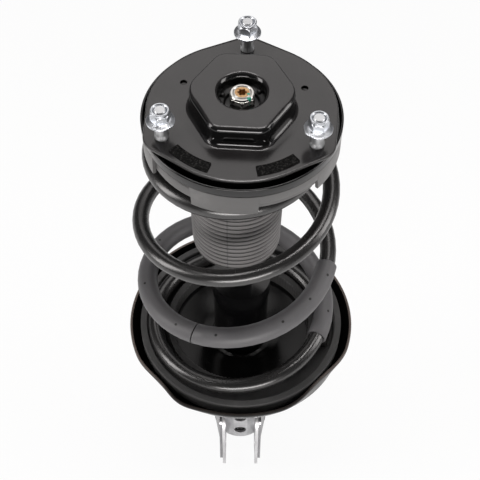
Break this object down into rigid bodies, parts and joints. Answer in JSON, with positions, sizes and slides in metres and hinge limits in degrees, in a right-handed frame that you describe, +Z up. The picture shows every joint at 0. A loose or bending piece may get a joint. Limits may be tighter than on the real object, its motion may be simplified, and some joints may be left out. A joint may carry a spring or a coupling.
{
  "type": "suspension strut assembly",
  "caption": "Front suspension strut with studded top mount, bearing, coil spring with sleeve, dust boot, damper and a knuckle clevis.",
  "frame": {"origin": "centre of the mount plate's top face, on the strut axis", "axes": "+Z up the strut axis towards the rod end, clevis ears towards -Y, +X to the right seen from the ears' side"},
  "size_m": [0.219, 0.2178, 0.5186],
  "materials": {
    "plate_paint": "satin",
    "black_paint": "gloss",
    "spring_paint": "satin",
    "zinc": "bright",
    "bracket_metal": "glossy, dark",
    "steel": "satin",
    "chrome": "polished",
    "bearing_steel": "polished",
    "sintered_iron": "matt",
    "brass": "satin",
    "rubber": "matt",
    "insulator_rubber": "matt",
    "boot_rubber": "matt",
    "sleeve_plastic": "matt",
    "foam": "matt",
    "bump_foam": "matt",
    "cage_plastic": "matt",
    "band_plastic": "matt"
  },
  "bodies": {
    "mount": {"mount_plate": "plate_paint", "mount_lower_plate": "plate_paint", "mount_rubber": "rubber", "mount_bush": "steel", "tower_studs": "steel", "tower_nuts": "zinc", "left_foam_pad": "foam", "right_foam_pad": "foam", "rod_washer": "black_paint", "rod_nut": "zinc", "piston_rod": "chrome", "rebound_stop": "rubber", "piston": "sintered_iron", "piston_band": "band_plastic", "piston_nut": "steel", "bearing_upper_race": "bearing_steel"},
    "swivel": {"bearing_balls": "bearing_steel", "bearing_cage": "cage_plastic", "bearing_lower_race": "bearing_steel", "bearing_seal": "rubber", "upper_spring_seat": "black_paint", "upper_insulator": "insulator_rubber", "bump_stop": "bump_foam", "boot_collar": "boot_rubber", "dust_boot": "boot_rubber", "coil_spring": "spring_paint", "spring_sleeve_upper": "sleeve_plastic", "spring_sleeve_lower": "sleeve_plastic"},
    "tube": {"strut_tube": "black_paint", "base_cup": "black_paint", "tube_cap": "black_paint", "rod_guide": "sintered_iron", "guide_bush": "brass", "oil_seal": "rubber", "pressure_tube": "steel", "base_valve": "sintered_iron", "lower_spring_seat": "black_paint", "lower_insulator": "insulator_rubber", "clevis_wrap": "bracket_metal", "clevis_liner": "bracket_metal", "stabiliser_bracket": "black_paint", "hose_bracket": "black_paint"}
  },
  "joints": [
    {"name": "steer_swivel", "type": "hinge", "parent": "mount", "child": "swivel", "pos_m": [0, 0, 0], "axis": [0, 0, 1], "range_deg": [-42, 42]},
    {"name": "suspension_travel", "type": "slide", "parent": "swivel", "child": "tube", "axis": [0, 0, 1], "range_m": [0, 0.14], "stiffness_N_per_m": 22000, "deforming": ["coil_spring", "spring_sleeve_upper", "spring_sleeve_lower"]}
  ]
}
